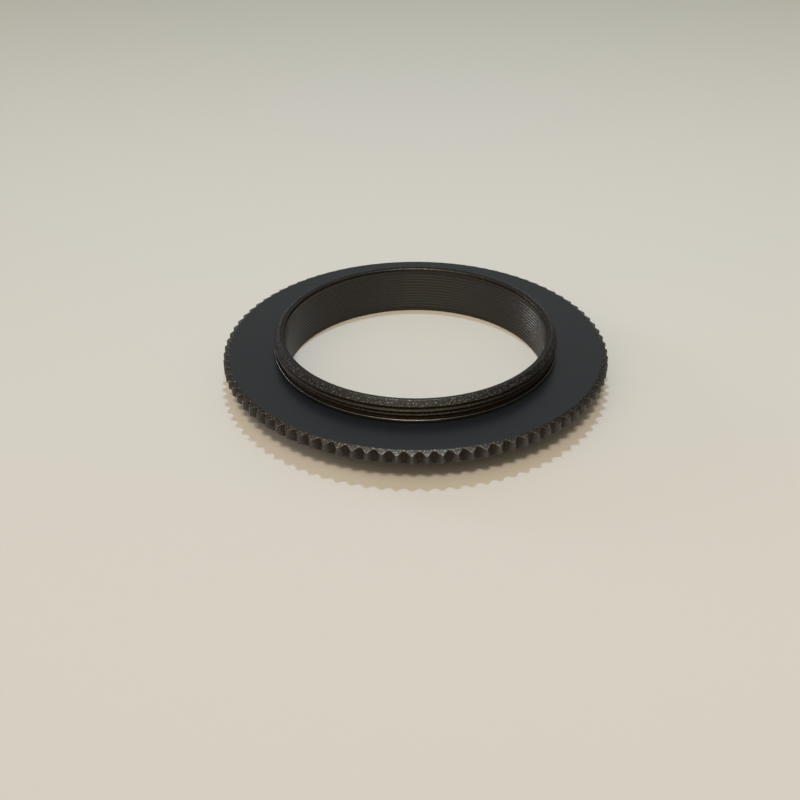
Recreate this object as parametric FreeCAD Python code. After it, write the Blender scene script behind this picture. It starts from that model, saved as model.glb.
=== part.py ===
import FreeCAD, Part
import math
import os

# Thread adapter: one turned ring with a knurled flange between an upper threaded collar and a lower spigot.
# Millimetres and degrees. The axis is +Z, and the ring stands on its spigot at z = 0.

# Upper collar, which carries the fine male thread
collar_radius = 21.0            # over the crests of the thread
collar_wall = 1.6               # from the crests of the bore's thread to those of the collar's
collar_height = 2.8             # above the flange's upper face
collar_chamfer_height = 0.58
collar_chamfer_run = 0.84       # across the rim, towards the axis
foot_land_height = 0.08         # low step between the flange and the relief
relief_width = 0.32             # groove that the thread runs out into
relief_depth = 0.47
run_out_height = 0.65           # of the cone from the relief up to the thread's full radius
rim_fall = 0.12                 # the rim slopes a little towards the bore

# Knurled flange
flange_width = 7.6              # from the collar to the tips of the teeth
flange_thickness = 2.18
flange_chamfer_run = 0.9        # at both faces, from the tips towards the axis
upper_chamfer_drop = 0.42       # along the axis
lower_chamfer_drop = 0.54
tooth_count = 90
tooth_depth = 0.74
tooth_tip_width = 0.24
tooth_root_width = 0.33
first_tooth_angle = 1.15        # about the axis, from +X

# Lower spigot
spigot_wall = 1.6               # round the bore
spigot_height = 2.77            # below the flange's lower face
spigot_chamfer = 0.3

# Ends of the bore
lead_in_run = 0.12              # steep cone under the collar's rim
lead_in_height = 0.32
bore_foot_chamfer = 0.2

# Sizes worked out from the values above
bore_radius = collar_radius - collar_wall       # over the crests of its fine inner thread
spigot_radius = bore_radius + spigot_wall
flange_tip_radius = collar_radius + flange_width
flange_bottom = spigot_height
flange_top = flange_bottom + flange_thickness
ring_height = flange_top + collar_height
relief_bottom = flange_top + foot_land_height
relief_top = relief_bottom + relief_width
relief_radius = collar_radius - relief_depth
thread_bottom = relief_top + run_out_height
tooth_root_radius = flange_tip_radius - tooth_depth
tip_ridge_height = flange_thickness - upper_chamfer_drop - lower_chamfer_drop
lead_in_top = ring_height - rim_fall
blank_margin = tip_ridge_height / 4     # how far the flange's blank stands out past the tips


def flange_edge():
    """Profile points of the flange's blank edge, a little larger than the teeth, from the lower face up."""
    face_radius = flange_tip_radius - flange_chamfer_run
    blank_radius = flange_tip_radius + blank_margin
    blank_run = flange_chamfer_run + blank_margin
    return [
        (face_radius, flange_bottom),
        (blank_radius, flange_bottom + lower_chamfer_drop * blank_run / flange_chamfer_run),
        (blank_radius, flange_top - upper_chamfer_drop * blank_run / flange_chamfer_run),
        (face_radius, flange_top),
    ]


def collar_outside():
    """Profile points of the collar's outside: foot land, relief, run-out, thread's wall and chamfered rim."""
    return [
        (collar_radius, flange_top),
        (collar_radius, relief_bottom),
        (relief_radius, relief_bottom),
        (relief_radius, relief_top),
        (collar_radius, thread_bottom),
        (collar_radius, ring_height - collar_chamfer_height),
        (collar_radius - collar_chamfer_run, ring_height),
    ]


def bore_wall():
    """Profile points of the bore, from the lead-in under the rim down to the foot."""
    return [
        (bore_radius + lead_in_run, lead_in_top),
        (bore_radius, lead_in_top - lead_in_height),
        (bore_radius, bore_foot_chamfer),
        (bore_radius + bore_foot_chamfer, 0),
    ]


def spigot_outside():
    """Profile points of the spigot's outside, from its foot up to the flange."""
    return [
        (spigot_radius - spigot_chamfer, 0),
        (spigot_radius, spigot_chamfer),
        (spigot_radius, flange_bottom),
    ]


def turned_blank():
    """The ring as it comes off the lathe, before its teeth are cut."""
    profile = spigot_outside() + flange_edge() + collar_outside() + bore_wall()
    points = [FreeCAD.Vector(radius, 0, height) for radius, height in profile]
    face = Part.Face(Part.makePolygon(points + points[:1]))
    return face.revolve(FreeCAD.Vector(0, 0, 0), FreeCAD.Vector(0, 0, 1), 360)


def toothed_prism():
    """A prism with the teeth's outline, as tall as the ring."""
    pitch_angle = 360 / tooth_count
    tip_half_angle = math.degrees(tooth_tip_width / 2 / flange_tip_radius)
    root_half_angle = math.degrees(tooth_root_width / 2 / tooth_root_radius)
    points = []
    for tooth in range(tooth_count):
        middle = first_tooth_angle + tooth * pitch_angle
        valley = middle - pitch_angle / 2
        points.append(polar(tooth_root_radius, valley - root_half_angle))
        points.append(polar(tooth_root_radius, valley + root_half_angle))
        points.append(polar(flange_tip_radius, middle - tip_half_angle))
        points.append(polar(flange_tip_radius, middle + tip_half_angle))
    outline = Part.Face(Part.makePolygon(points + points[:1]))
    return outline.extrude(FreeCAD.Vector(0, 0, ring_height))


def polar(radius, angle):
    """A point at z = 0, by its distance from the axis and its angle from +X."""
    turn = math.radians(angle)
    return FreeCAD.Vector(radius * math.cos(turn), radius * math.sin(turn), 0)


def adapter_ring():
    """The finished ring."""
    return turned_blank().common(toothed_prism()).removeSplitter()


os.makedirs("parts", exist_ok=True)
shape = adapter_ring()
solid = shape.Solids[0]
solid.exportStep("parts/adapter_ring.step")
print("solids", len(shape.Solids), "valid", solid.isValid(), "volume", round(solid.Volume, 1))
print("box", solid.BoundBox)
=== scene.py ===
"""Thread adapter: a black anodised ring with a knurled flange, a fine male thread on its collar and a finer
thread in its bore."""
import math

import bpy
import numpy as np
from mathutils import Matrix, Vector


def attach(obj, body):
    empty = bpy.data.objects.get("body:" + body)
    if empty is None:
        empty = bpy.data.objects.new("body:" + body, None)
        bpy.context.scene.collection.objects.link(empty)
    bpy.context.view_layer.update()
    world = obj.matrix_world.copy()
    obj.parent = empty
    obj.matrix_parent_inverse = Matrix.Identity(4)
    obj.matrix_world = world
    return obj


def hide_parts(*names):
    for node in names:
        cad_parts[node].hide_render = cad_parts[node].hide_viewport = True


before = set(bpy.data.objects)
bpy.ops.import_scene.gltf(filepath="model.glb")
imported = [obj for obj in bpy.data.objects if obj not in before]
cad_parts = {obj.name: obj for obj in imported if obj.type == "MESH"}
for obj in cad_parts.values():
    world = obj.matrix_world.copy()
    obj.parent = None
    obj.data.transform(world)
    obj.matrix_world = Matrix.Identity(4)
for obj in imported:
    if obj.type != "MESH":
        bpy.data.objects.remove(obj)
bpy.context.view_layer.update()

MM = 0.001                      # the ring's lengths below are millimetres, and its mesh is in metres
FULL_TURN = 2 * math.pi
FRONT = math.radians(270)       # the side towards the camera
hard_edge = math.radians(30)    # faces that meet at more than this keep a hard edge
merge_decimals = 5              # points that agree to this many decimals are one point

# Collar
collar_radius = 21.0            # over the crests of its thread
collar_pitch = 0.75
collar_groove_depth = 0.406
collar_groove_height = 6.80     # middle of the upper groove at the front
collar_flats = (1 / 4, 1 / 8)   # of the root and of the crest, as shares of the pitch
# The mesh has two lines beside each edge of the thread, placed in pitches from the middle of a groove
collar_marks = np.array([0.105, 0.145, 0.42, 0.455, 0.545, 0.58, 0.855, 0.895])
level_lines_foot = 7.05         # above this the lines of the mesh run level, below it they follow the thread
close_lines_top = 7.3
close_lines = 13                # over the soft foot of the chamfer
wide_lines_foot = 7.33
wide_lines_top = 7.7
wide_lines = 9                  # over the rest of the chamfer
chamfer_foot = 7.17
chamfer_slope = 0.84 / 0.58     # towards the axis, for each millimetre of height
chamfer_softness = 0.05
land_top = 5.08
relief_radius = 20.53
relief_top = 5.35
run_out_slope = 0.47 / 0.65     # of the cone between the relief and the full thread
rim_outer_radius = 20.16
ring_height = 7.75

# Bore
bore_radius = 19.4              # over the crests of its thread
bore_pitch = 0.5
bore_groove_depth = 0.05
bore_flats = (0.32, 0.37)       # of the root and of the crest, as shares of the pitch
bore_marks = np.array([0.16, 0.315, 0.685, 0.84])     # one line on each edge of the thread
bore_thread_bottom = 0.27
bore_thread_top = 7.2
bore_thread_run_out = 0.35
rim_inner_radius = 19.52
rim_inner_height = 7.63
lead_in_foot = 7.31
bore_chamfer_top = 0.2
foot_inner_radius = 19.6

# Flange and spigot
flange_bottom = 2.77
flange_top = 4.95
flange_face_radius = 27.7
upper_chamfer_slope = 0.42 / 0.9      # along the axis, for each millimetre outwards
lower_chamfer_slope = 0.6
tooth_count = 90
tooth_tip_radius = 28.6
tooth_root_radius = 27.86
first_tooth = 1.15              # degrees
spigot_radius = 21.0
spigot_chamfer_top = 0.3
foot_outer_radius = 20.7

# Places across one tooth, in tooth pitches from the middle of its tip
tip_end = 0.06
valley_start = 0.33
valley_side = 0.4
valley_bottom = 0.465
half_tooth = np.array([tip_end, valley_start, valley_side, valley_bottom])
tooth_places = np.concatenate([-half_tooth[::-1], half_tooth])

# The columns of the mesh go round the ring. Each has its place on a tooth, and on turned surfaces two share
# an angle
columns = np.arange(tooth_count * len(tooth_places) + 1)
tooth_number, tooth_place = np.divmod(columns, len(tooth_places))
across_tooth = np.abs(tooth_places)[tooth_place]
toothed_angles = np.radians((tooth_number + tooth_places[tooth_place]) * (360 / tooth_count) + first_tooth)
columns_per_angle = 2
turned_angles = np.radians(columns // columns_per_angle * (360 * columns_per_angle / columns[-1]))

# A rounded corner: how far its six lines stand back on the side before it and on the side after it, and
# their wear
rounding_before = np.array([1.7, 1.0, 4 / 9, 1 / 9, 0.0, 0.0])
rounding_after = rounding_before[::-1]
rounding_wear = np.array([0.0, 0.45, 1.0, 1.0, 0.45, 0.0])

# Finish, in shares: worn edge (on the teeth partly painted glints), cut metal, sparkling grain, mattness,
# and dimming of cut metal (painted shade in the collar's grooves, a darker tone on its chamfer)
finish_names = ("edge_wear_and_glint", "tooled", "sparkle", "matt", "dimming_and_groove_shade")
# The collar's grooves are dimmed more than its crests: painted shade in the grooves.
collar_groove_finish = (0.0, 1.0, 0.3, 1.0, 0.4)
collar_crest_finish = (0.06, 1.0, 0.3, 0.5, 0.15)
chamfer_finish = (0.02, 1.0, 1.0, 0.7, 0.45)
bore_groove_finish = (0.0, 0.5, 0.0, 0.0, 0.0)
bore_crest_finish = (0.02, 0.5, 0.0, 0.0, 0.0)
crest_power = 4                 # keeps a crest's finish near its top
# Extra pale wear on the tooth tips and lower flanks is partly worn metal, partly painted highlight; the gain
# over the valley tops paints glints there.
tip_wear_and_glint = 0.22
flank_wear_and_glint = 0.12
valley_glint_gain = 1.6          # times the wear, where the upper chamfer meets a valley
valley_matt_top = flange_top - 0.13   # the valleys between teeth are matt below this
chamfer_grain_lines = 4         # lines of the rim's outer corner that carry the chamfer's grain

# Table, in metres
table_reach = 6.0
table_lines = 9
table_height = -0.00001         # just under the ring's foot


def groove_share(phase, flats):
    """How deep a thread's groove is, 0 at the crest and 1 at the root: with d the distance in pitches from
    the middle of the groove, it is 1 for d under half the root's flat, 0 for d over half a pitch less half the
    crest's flat, and a straight line between."""
    root_flat, crest_flat = flats
    d = np.abs(phase - np.round(phase))
    crest_start = 0.5 - crest_flat / 2
    return np.clip((crest_start - d) / (crest_start - root_flat / 2), 0, 1)


def collar_groove(height, angle):
    """Groove of the collar's thread: its place in pitches is the height over the pitch, from the upper groove
    at the front, less one pitch for each full turn."""
    phase = (height - collar_groove_height) / collar_pitch - (angle - FRONT) / FULL_TURN
    return groove_share(phase, collar_flats)


def bore_groove(height, angle):
    """Groove of the bore's thread: its place in pitches is the height over the pitch, less one pitch for each
    full turn."""
    return groove_share(height / bore_pitch - angle / FULL_TURN, bore_flats)


def collar_radius_at(height, angle):
    """Radius of the collar's outside: the least of the threaded wall, the chamfer and the run-out. The wall is
    the crest radius less the groove; the chamfer falls off in a straight line above its foot, softened there
    by a hyperbola; the run-out is a cone that widens from the relief."""
    wall = collar_radius - collar_groove_depth * collar_groove(height, angle)
    rise = height - chamfer_foot
    chamfer = collar_radius - chamfer_slope * (rise + np.sqrt(rise ** 2 + chamfer_softness ** 2)) / 2
    run_out = relief_radius + run_out_slope * (height - relief_top)
    return np.minimum(np.minimum(wall, chamfer), run_out)


def bore_radius_at(height, angle):
    """Radius of the bore: the crest radius plus the groove, which fades out in a straight line at both
    ends."""
    ends = np.minimum(height - bore_thread_bottom, bore_thread_top - height)
    depth = bore_groove_depth * np.clip(ends / bore_thread_run_out, 0, 1)
    return bore_radius + depth * bore_groove(height, angle)


def thread_lines(start, pitch, marks, low, high):
    """Heights of lines that follow a right-hand thread: start + pitch x (turn + mark + angle / full turn),
    held between low and high. One row for each mark of each turn, from the lowest up. The first turn is two
    below the low end, because the mark and the angle each lift a line by up to a pitch."""
    first_turn = math.floor((low - start) / pitch) - 2
    last_turn = math.ceil((high - start) / pitch)
    turns = np.arange(first_turn, last_turn + 1)
    rows = (turns[:, None] + marks).reshape(-1, 1)
    return np.clip(start + pitch * (rows + turned_angles / FULL_TURN), low, high)


def thread_finish(groove, groove_finish, crest_finish):
    """Finish over a thread: the groove's, plus the crest's difference from it x (1 - groove share) to a
    power."""
    low = np.reshape(groove_finish, (-1, 1, 1))
    high = np.reshape(crest_finish, (-1, 1, 1))
    return low + (high - low) * (1 - groove) ** crest_power


def tooth_radii():
    """Radius of the teeth in each column: tip radius on the tip, a straight flank down towards the root, and
    a parabola in the valley that touches both flanks."""
    valley_width = 0.5 - valley_start
    fall = (tooth_tip_radius - tooth_root_radius) / (0.5 - tip_end - valley_width / 2)
    flank = tooth_tip_radius - fall * np.clip(across_tooth - tip_end, 0, None)
    valley = fall * np.clip(across_tooth - valley_start, 0, None) ** 2 / (2 * valley_width)
    return flank + valley


def profile_corners(pairs):
    """Corners of a profile as an array of corner x column x (radius, height)."""
    spread = [np.stack([radius + 0 * columns, height + 0 * columns], -1) for radius, height in pairs]
    return np.stack(spread)


def rounded(corners, reach):
    """Rounds a profile, in every column at once, and gives its radius and its height on each line. Each corner
    C, with unit directions a before it and b after it, becomes six points
    C - reach x (before) a + reach x (after) b: a parabola between two holding points. The first and the last
    corner only give directions."""
    here = corners[1:-1]
    before = here - corners[:-2]
    after = corners[2:] - here
    before = before / np.linalg.norm(before, axis=-1, keepdims=True)
    after = after / np.linalg.norm(after, axis=-1, keepdims=True)
    size = np.asarray(reach)[:, None, None, None]
    points = (here[:, None] - size * rounding_before[:, None, None] * before[:, None]
              + size * rounding_after[:, None, None] * after[:, None])
    return np.moveaxis(points.reshape(-1, corners.shape[1], 2), -1, 0)


def profile_finish(worn, sides):
    """Finish on the lines of a rounded profile. Of a corner's six lines, three have the cut, grain and mattness
    of the side before it and three those of the side after it; their wear is the corner's x that of the
    rounding, and nothing is dimmed."""
    sides = np.array(sides).T
    both = np.stack([sides[:, :-1], sides[:, 1:]], -1)
    along = np.repeat(both, len(rounding_wear) // 2, axis=-1).reshape(len(sides), -1)
    wear = np.outer(worn, rounding_wear).reshape(1, -1)
    return np.concatenate([wear, along, 0 * wear])[:, :, None] + 0 * columns


def flange_and_foot():
    """Lines from the bore's foot, round the spigot and the knurled flange, up to the relief under the thread:
    a rounded profile that goes round the ring, where the flange's edge follows the teeth."""
    tooth = tooth_radii()
    past_face = tooth - flange_face_radius
    corners = profile_corners([
        (bore_radius, bore_chamfer_top),
        (foot_inner_radius, 0),
        (foot_outer_radius, 0),
        (spigot_radius, spigot_chamfer_top),
        (spigot_radius, flange_bottom),
        (flange_face_radius, flange_bottom),
        (tooth, flange_bottom + lower_chamfer_slope * past_face),
        (tooth, flange_top - upper_chamfer_slope * past_face),
        (flange_face_radius, flange_top),
        (collar_radius, flange_top),
        (collar_radius, land_top),
        (relief_radius, land_top),
        (relief_radius, relief_top),
        (relief_radius + run_out_slope, relief_top + 1.0),      # gives the run-out's direction
    ])
    # For each corner but the first and the last: reach of its rounding, wear, 1 where it follows the teeth
    reach, worn, toothed = np.array([
        (0.05, 0.1, 0),         # inside of the foot
        (0.06, 0.2, 0),         # outside of the foot
        (0.06, 0.2, 0),         # top of the spigot's chamfer
        (0.08, 0.0, 0),         # spigot at the flange
        (0.06, 0.2, 1),         # edge of the lower face
        (0.06, 0.3, 1),         # lower ends of the teeth
        (0.08, 0.35, 1),        # upper ends of the teeth
        (0.015, 0.0, 1),        # edge of the upper face
        (0.015, 0.0, 0),        # foot of the land
        (0.07, 1.0, 0),         # edge of the land
        (0.03, 0.0, 0),         # foot of the relief
        (0.05, 0.0, 0),         # top of the relief
    ]).T
    lower_ends, upper_ends = 5, 6       # places of these two corners in the list
    # For each side between corners: cut metal, sparkling grain, mattness
    sides = [
        (1.0, 0.3, 0.3),        # chamfer of the bore
        (1.0, 0.3, 0.0),        # foot
        (1.0, 0.3, 0.3),        # chamfer of the spigot
        (1.0, 0.3, 0.3),        # spigot
        (0.0, 0.0, 0.0),        # lower face
        (1.0, 0.7, 0.0),        # lower chamfer
        (1.0, 0.2, 0.0),        # teeth
        (1.0, 0.8, 0.25),       # upper chamfer
        (0.0, 0.0, 0.0),        # upper face
        (1.0, 0.2, 0.3),        # side of the land
        (1.0, 0.2, 0.5),        # top of the land
        (1.0, 0.2, 1.0),        # relief
        (1.0, 0.2, 1.0),        # run-out
    ]
    radius, height = rounded(corners, reach)
    corner = np.repeat(np.arange(len(reach)), len(rounding_wear))[:, None]
    angle = np.where(toothed[corner] == 1, toothed_angles, turned_angles)
    wear, cut, grain, matt, dimming_and_groove_shade = profile_finish(worn, sides)
    on_teeth = (corner == lower_ends) | (corner == upper_ends)
    in_valley = on_teeth & (across_tooth >= valley_start) & (height < valley_matt_top)
    matt = np.where(in_valley, 1.0, matt)
    # Tips, lower flanks and valley tops get pale wear: partly worn edges, partly painted glints.
    on_tip = on_teeth & (across_tooth == tip_end)
    wear = np.where(on_tip, np.maximum(wear, tip_wear_and_glint), wear)
    on_flank = (corner == lower_ends) & (across_tooth == valley_start)
    wear = np.where(on_flank, np.maximum(wear, flank_wear_and_glint), wear)
    over_valley = (corner == upper_ends) & (across_tooth == valley_bottom)
    wear = np.where(over_valley, wear * valley_glint_gain, wear)
    return np.stack([radius, height, angle, wear, cut, grain, matt, dimming_and_groove_shade])


def collar_thread():
    """Lines of the male thread: along the helix on the wall, then level over the chamfer."""
    start = collar_groove_height - collar_pitch * FRONT / FULL_TURN
    wall = thread_lines(start, collar_pitch, collar_marks, relief_top, level_lines_foot)
    close = np.linspace(level_lines_foot, close_lines_top, close_lines + 1)[1:]
    wide = np.linspace(wide_lines_foot, wide_lines_top, wide_lines)
    level = np.concatenate([close, wide])[:, None] + 0 * turned_angles
    height = np.concatenate([wall, level])
    angle = turned_angles + 0 * height
    on_thread = thread_finish(collar_groove(height, angle), collar_groove_finish, collar_crest_finish)
    on_chamfer = np.reshape(chamfer_finish, (-1, 1, 1))
    finish = np.where(height < chamfer_foot, on_thread, on_chamfer)
    return np.stack([collar_radius_at(height, angle), height, angle, *finish])


def rim():
    """Lines over the rim and down the lead-in to the bore's plain band: a rounded profile turned about the
    axis."""
    corners = profile_corners([
        (collar_radius - chamfer_slope * (wide_lines_top - chamfer_foot), wide_lines_top),
        (rim_outer_radius, ring_height),
        (rim_inner_radius, rim_inner_height),
        (bore_radius, lead_in_foot),
        (bore_radius, bore_thread_top),
    ])
    reach = [0.03, 0.04, 0.05]
    worn = [0.3, 0.2, 0.0]
    side = (1.0, 0.2, 0.0)      # cut metal, sparkling grain, mattness
    radius, height = rounded(corners, reach)
    angle = turned_angles + 0 * height
    finish = profile_finish(worn, [side] * 4)
    sparkle = finish_names.index("sparkle")
    finish[sparkle, :chamfer_grain_lines] = chamfer_finish[sparkle]
    return np.stack([radius, height, angle, *finish])


def bore_thread():
    """Lines of the bore's thread, along the helix and from the top down."""
    height = thread_lines(0, bore_pitch, bore_marks, bore_thread_bottom, bore_thread_top)[::-1]
    angle = turned_angles + 0 * height
    finish = thread_finish(bore_groove(height, angle), bore_groove_finish, bore_crest_finish)
    return np.stack([bore_radius_at(height, angle), height, angle, *finish])


def bore_foot():
    """Lines round the corner between the bore and its chamfer at the foot, turned about the axis."""
    corners = profile_corners([
        (bore_radius, bore_thread_bottom),
        (bore_radius, bore_chamfer_top),
        (foot_inner_radius, 0),
    ])
    reach = [0.03]
    worn = [0.1]
    side = (1.0, 0.0, 0.0)      # cut metal, sparkling grain, mattness
    radius, height = rounded(corners, reach)
    angle = turned_angles + 0 * height
    finish = profile_finish(worn, [side] * 2)
    return np.stack([radius, height, angle, *finish])


def adapter_ring():
    """The whole ring as one closed surface: a grid of profile lines x columns, whose point is
    (radius cos angle, radius sin angle, height). The last line joins the first, and points that coincide are
    merged."""
    bands = [flange_and_foot(), collar_thread(), rim(), bore_thread(), bore_foot()]
    radius, height, angle, *finish = np.concatenate(bands, axis=1)
    points = np.stack([radius * np.cos(angle), radius * np.sin(angle), height], -1).reshape(-1, 3)
    points = np.round(points, merge_decimals) + 0.0     # adding zero makes minus zero plain zero
    merged, first, near = np.unique(points, axis=0, return_index=True, return_inverse=True)
    near = near.reshape(radius.shape)
    far = np.roll(near, -1, axis=0)
    lower = np.stack([near[:, :-1], near[:, 1:], far[:, 1:]], -1).reshape(-1, 3)
    upper = np.stack([near[:, :-1], far[:, 1:], far[:, :-1]], -1).reshape(-1, 3)
    faces = np.concatenate([lower, upper])
    a, b, c = faces.T
    faces = faces[(a != b) & (b != c) & (c != a)]
    mesh = bpy.data.meshes.new("adapter_ring_finish")
    mesh.from_pydata((merged * MM).tolist(), [], faces.tolist())
    mesh.polygons.foreach_set("use_smooth", np.ones(len(faces), bool))
    for name, values in zip(finish_names, finish):
        mesh.attributes.new(name, "FLOAT", "POINT").data.foreach_set("value", values.reshape(-1)[first])
    mesh.set_sharp_from_angle(angle=hard_edge)
    mesh.update()
    ring = bpy.data.objects.new("adapter_ring_finish", mesh)
    bpy.context.collection.objects.link(ring)
    return ring


def add_node(tree, kind, place, sockets=None, **settings):
    """A node with its place in the editor, its plain settings and its sockets: another node's output is linked
    to the socket, and anything else is the socket's own value."""
    node = tree.nodes.new(kind)
    node.location = place
    for name, setting in settings.items():
        setattr(node, name, setting)
    for name, value in (sockets or {}).items():
        if isinstance(value, bpy.types.NodeSocket):
            tree.links.new(value, node.inputs[name])
        else:
            node.inputs[name].default_value = value
    return node


def set_tones(ramp, stops):
    """Puts (position, red, green, blue) stops on a colour ramp, which has two of its own for the first and the
    last."""
    tones = ramp.elements
    for tone, (position, *colour) in zip(tones, (stops[0], stops[-1])):
        tone.position = position
        tone.color = (*colour, 1)
    for position, *colour in stops[1:-1]:
        tones.new(position).color = (*colour, 1)


def new_material(name):
    """A material, its node tree and its shader."""
    material = bpy.data.materials.new(name)
    material.use_nodes = True
    return material, material.node_tree, material.node_tree.nodes["Principled BSDF"]


def black_anodised():
    """Satin black anodised aluminium. The faces have a blue-black dye with a soft cloudy tone and a fine
    blasted grain. Cut metal is a dark bronze with a coarser grain and light specks, and dimming takes it
    towards blue-black: painted shade in the collar's grooves, and a darker tone on its chamfer. Wear x coarse
    grain takes edges towards pale metal: worn edges, and painted glints on the teeth's tips, flanks and valley
    tops. Roughness is the fine grain's, plus a share of the mattness, less a share of the wear."""
    dark_bronze = (0.047, 0.041, 0.035, 1)
    light_bronze = (0.29, 0.23, 0.175, 1)
    blue_black = (0.003, 0.011, 0.020, 1)
    pale_metal_and_glint = (0.42, 0.43, 0.45, 1)
    matt_roughness = 0.35
    wear_roughness = -0.12
    material, tree, skin = new_material("black_anodised_satin")
    link = tree.links.new
    skin.inputs["IOR"].default_value = 1.6
    where = add_node(tree, "ShaderNodeTexCoord", (-1400, 0)).outputs["Object"]

    def grain(place, scale, detail):
        """A noise pattern on the piece's own coordinates."""
        sockets = {"Vector": where, "Scale": scale, "Detail": detail}
        return add_node(tree, "ShaderNodeTexNoise", place, sockets).outputs["Fac"]

    def share(place, name):
        """One of the finish shares that the mesh carries."""
        return add_node(tree, "ShaderNodeAttribute", place, attribute_name=name).outputs["Fac"]

    def mixed(place, factor, first, second):
        """A colour that goes from the first to the second by the factor."""
        sockets = {"Factor": factor, "A": first, "B": second}
        return add_node(tree, "ShaderNodeMix", place, sockets, data_type="RGBA").outputs["Result"]

    def product(place, first, second):
        """One share times another."""
        sockets = {0: first, 1: second}
        return add_node(tree, "ShaderNodeMath", place, sockets, operation="MULTIPLY").outputs["Value"]

    def plus_share(place, amount, factor, start):
        """A start value plus an amount x factor."""
        sockets = {0: amount, 1: factor, 2: start}
        return add_node(tree, "ShaderNodeMath", place, sockets, operation="MULTIPLY_ADD").outputs["Value"]

    cloud = grain((-1100, 300), 160, 3)
    fine = grain((-1100, 0), 9000, 1)
    coarse = grain((-1100, -600), 4500, 3)
    wear = share((-1100, -300), "edge_wear_and_glint")
    tooled = share((-1100, -900), "tooled")
    sparkle = share((-800, -900), "sparkle")
    matt = share((-800, -500), "matt")
    dimming_and_groove_shade = share((-800, 600), "dimming_and_groove_shade")

    dye = add_node(tree, "ShaderNodeValToRGB", (-800, 300), {"Fac": cloud})
    set_tones(dye.color_ramp, [(0.3, 0.0036, 0.0043, 0.0051), (0.7, 0.0048, 0.0057, 0.0067)])
    bright_grains = {"Value": coarse, "From Min": 0.55, "From Max": 0.65}
    speck = add_node(tree, "ShaderNodeMapRange", (-800, -700), bright_grains)
    specks = product((-650, -700), sparkle, speck.outputs["Result"])
    bronze = mixed((-650, 600), specks, dark_bronze, light_bronze)
    # Dimming towards blue-black: painted shade in the collar's grooves, a darker tone on the chamfer.
    dimmed = mixed((-500, 600), dimming_and_groove_shade, bronze, blue_black)
    metal = mixed((-650, 300), tooled, dye.outputs["Color"], dimmed)
    # Worn edges go towards pale metal; on the teeth this pale colour is partly a painted glint.
    rub_and_glint = product((-800, -200), wear, coarse)
    link(mixed((-500, 200), rub_and_glint, metal, pale_metal_and_glint), skin.inputs["Base Color"])
    link(tooled, skin.inputs["Metallic"])

    satin = {"Value": fine, "From Min": 0.3, "From Max": 0.7, "To Min": 0.30, "To Max": 0.36}
    gloss = add_node(tree, "ShaderNodeMapRange", (-500, -100), satin)
    rough = plus_share((-300, -100), matt, matt_roughness, gloss.outputs["Result"])
    link(plus_share((-150, -100), wear, wear_roughness, rough), skin.inputs["Roughness"])

    shallow = {"Strength": 0.3, "Distance": 0.00001, "Height": fine}
    blasted = add_node(tree, "ShaderNodeBump", (-500, -400), shallow)
    deeper = {"Strength": sparkle, "Distance": 0.00004, "Height": coarse, "Normal": blasted.outputs["Normal"]}
    cut = add_node(tree, "ShaderNodeBump", (-250, -500), deeper)
    link(cut.outputs["Normal"], skin.inputs["Normal"])
    return material


def pale_table():
    """Matt off-white table top, whose tone is a smooth curve from front to back: a painted fall of light,
    lighter in front and darker and cooler towards the back.
    """
    material, tree, skin = new_material("pale_table_top")
    skin.inputs["Roughness"].default_value = 0.9
    skin.inputs["Specular IOR Level"].default_value = 0.0
    where = add_node(tree, "ShaderNodeTexCoord", (-900, 0))
    split = add_node(tree, "ShaderNodeSeparateXYZ", (-700, 0), {"Vector": where.outputs["Object"]})
    span = {"Value": split.outputs["Y"], "From Min": -0.14, "From Max": 0.30}
    reach = add_node(tree, "ShaderNodeMapRange", (-500, 0), span)
    # Painted light: the table's colour falls off from front to back.
    painted_light_falloff = add_node(tree, "ShaderNodeValToRGB", (-300, 0), {"Fac": reach.outputs["Result"]})
    painted_light_falloff.color_ramp.interpolation = "B_SPLINE"
    set_tones(painted_light_falloff.color_ramp, [
        (0.0, 0.700, 0.695, 0.705),
        (0.4, 0.650, 0.655, 0.660),
        (1.0, 0.385, 0.435, 0.455),
    ])
    tree.links.new(painted_light_falloff.outputs["Color"], skin.inputs["Base Color"])
    return material


def table_top():
    """A flat square under the ring: points (x, y) on an even grid, just below height zero."""
    span = np.linspace(-table_reach, table_reach, table_lines)
    x, y = np.meshgrid(span, span)
    points = np.stack([x, y, np.full_like(x, table_height)], -1).reshape(-1, 3)
    ids = np.arange(x.size).reshape(x.shape)
    faces = np.stack([ids[:-1, :-1], ids[:-1, 1:], ids[1:, 1:], ids[1:, :-1]], -1).reshape(-1, 4)
    mesh = bpy.data.meshes.new("table_top")
    mesh.from_pydata(points.tolist(), [], faces.tolist())
    table = bpy.data.objects.new("table_top", mesh)
    bpy.context.collection.objects.link(table)
    return table


def distant_lamp(name, direction, spread, colour, level):
    """A distant lamp: the direction it shines from, its apparent width in degrees, and the share of a white
    table's light that it gives when it stands overhead."""
    light = bpy.data.lights.new(name, "SUN")
    light.energy = math.pi * level
    light.angle = math.radians(spread)
    light.color = colour
    holder = bpy.data.objects.new(name, light)
    holder.rotation_euler = (-Vector(direction)).to_track_quat("-Z", "Y").to_euler()
    bpy.context.collection.objects.link(holder)


def near_lamp(name, place, radius, colour, level):
    """A small round lamp near the ring: its place and radius in metres, and the share of a white table's light
    that it gives at the origin, from which its power is 4 pi squared x level x distance cubed / height."""
    light = bpy.data.lights.new(name, "POINT")
    distance = Vector(place).length
    light.energy = 4 * math.pi ** 2 * level * distance ** 3 / place[2]
    light.shadow_soft_size = radius
    light.color = colour
    holder = bpy.data.objects.new(name, light)
    holder.location = place
    bpy.context.collection.objects.link(holder)


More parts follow.
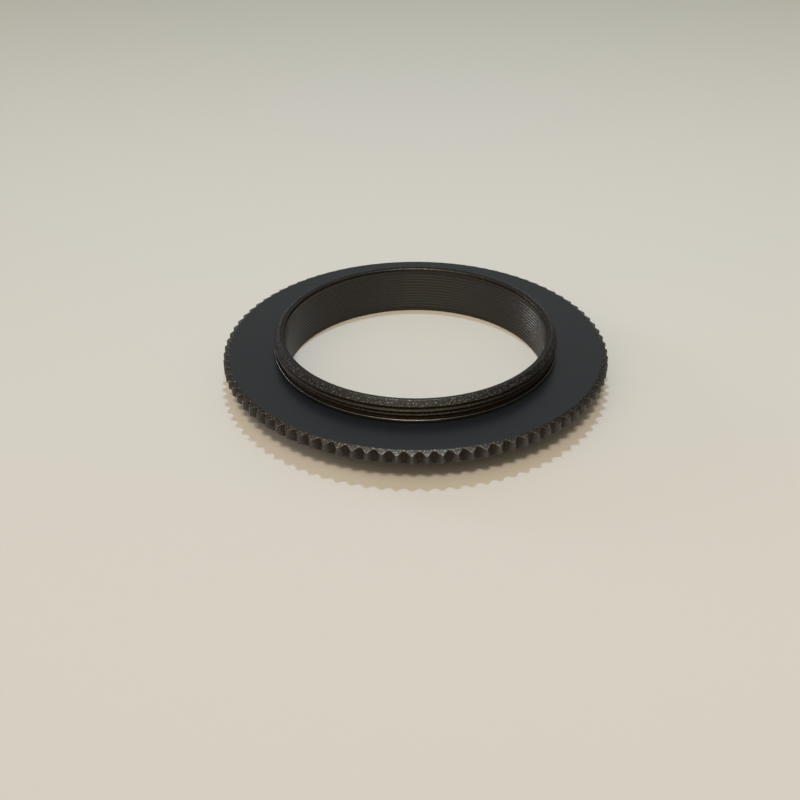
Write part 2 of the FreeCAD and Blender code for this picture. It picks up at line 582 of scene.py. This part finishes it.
def room_light():
    """A dim room whose soft glow is stronger the nearer a direction points behind the ring, a warm lamp in
    front, high up, a broad warm window at the front left, a low pale window at the back left, and a small cool
    lamp above."""
    world = bpy.data.worlds.new("dim_room")
    world.use_nodes = True
    bpy.context.scene.world = world
    tree = world.node_tree
    where = add_node(tree, "ShaderNodeTexCoord", (-1000, 0))
    toward = {0: where.outputs["Generated"], 1: (0.0, 0.90, 0.43)}
    facing = add_node(tree, "ShaderNodeVectorMath", (-800, 0), toward, operation="DOT_PRODUCT")
    glow = add_node(tree, "ShaderNodeValToRGB", (-500, 0), {"Fac": facing.outputs["Value"]})
    glow.color_ramp.interpolation = "EASE"
    set_tones(glow.color_ramp, [(0.45, 0.17, 0.138, 0.092), (0.95, 0.310, 0.318, 0.322)])
    tree.links.new(glow.outputs["Color"], tree.nodes["Background"].inputs["Color"])
    distant_lamp("lamp_front", (-0.057, -0.458, 0.887), spread=11.0, colour=(1.0, 0.83, 0.60), level=0.43)
    distant_lamp("window_left", (-0.30, -0.56, 0.772), spread=80.0, colour=(1.0, 0.79, 0.53), level=0.30)
    distant_lamp("window_back", (-0.8585, 0.476, 0.191), spread=12.0, colour=(0.95, 0.97, 1.0), level=0.16)
    near_lamp("lamp_above", (0.0, 0.067, 0.300), radius=0.007, colour=(0.60, 0.82, 1.0), level=0.33)


def camera():
    """The camera, by its three axes and its place, looking a little down at the ring."""
    lens = bpy.data.cameras.new("camera")
    lens.sensor_width = 36.0
    lens.lens = 49.5
    lens.clip_start = 0.005
    lens.clip_end = 20.0
    holder = bpy.data.objects.new("camera", lens)
    right = (0.99990333, 0.012586, -0.00590965)
    up = (-0.00188281, 0.54366677, 0.83929905)
    back = (0.01377629, -0.83920679, 0.54363791)
    place = (0.0, -0.143195, 0.087463)
    holder.matrix_world = Matrix([[*row] for row in zip(right, up, back, place)] + [[0, 0, 0, 1]])
    bpy.context.collection.objects.link(holder)
    bpy.context.scene.camera = holder


bpy.context.scene.view_settings.view_transform = "Standard"
camera()
room_light()

table = table_top()
table.data.materials.append(pale_table())

ring = adapter_ring()
ring.data.materials.append(black_anodised())
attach(ring, "root")
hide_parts("adapter_ring")
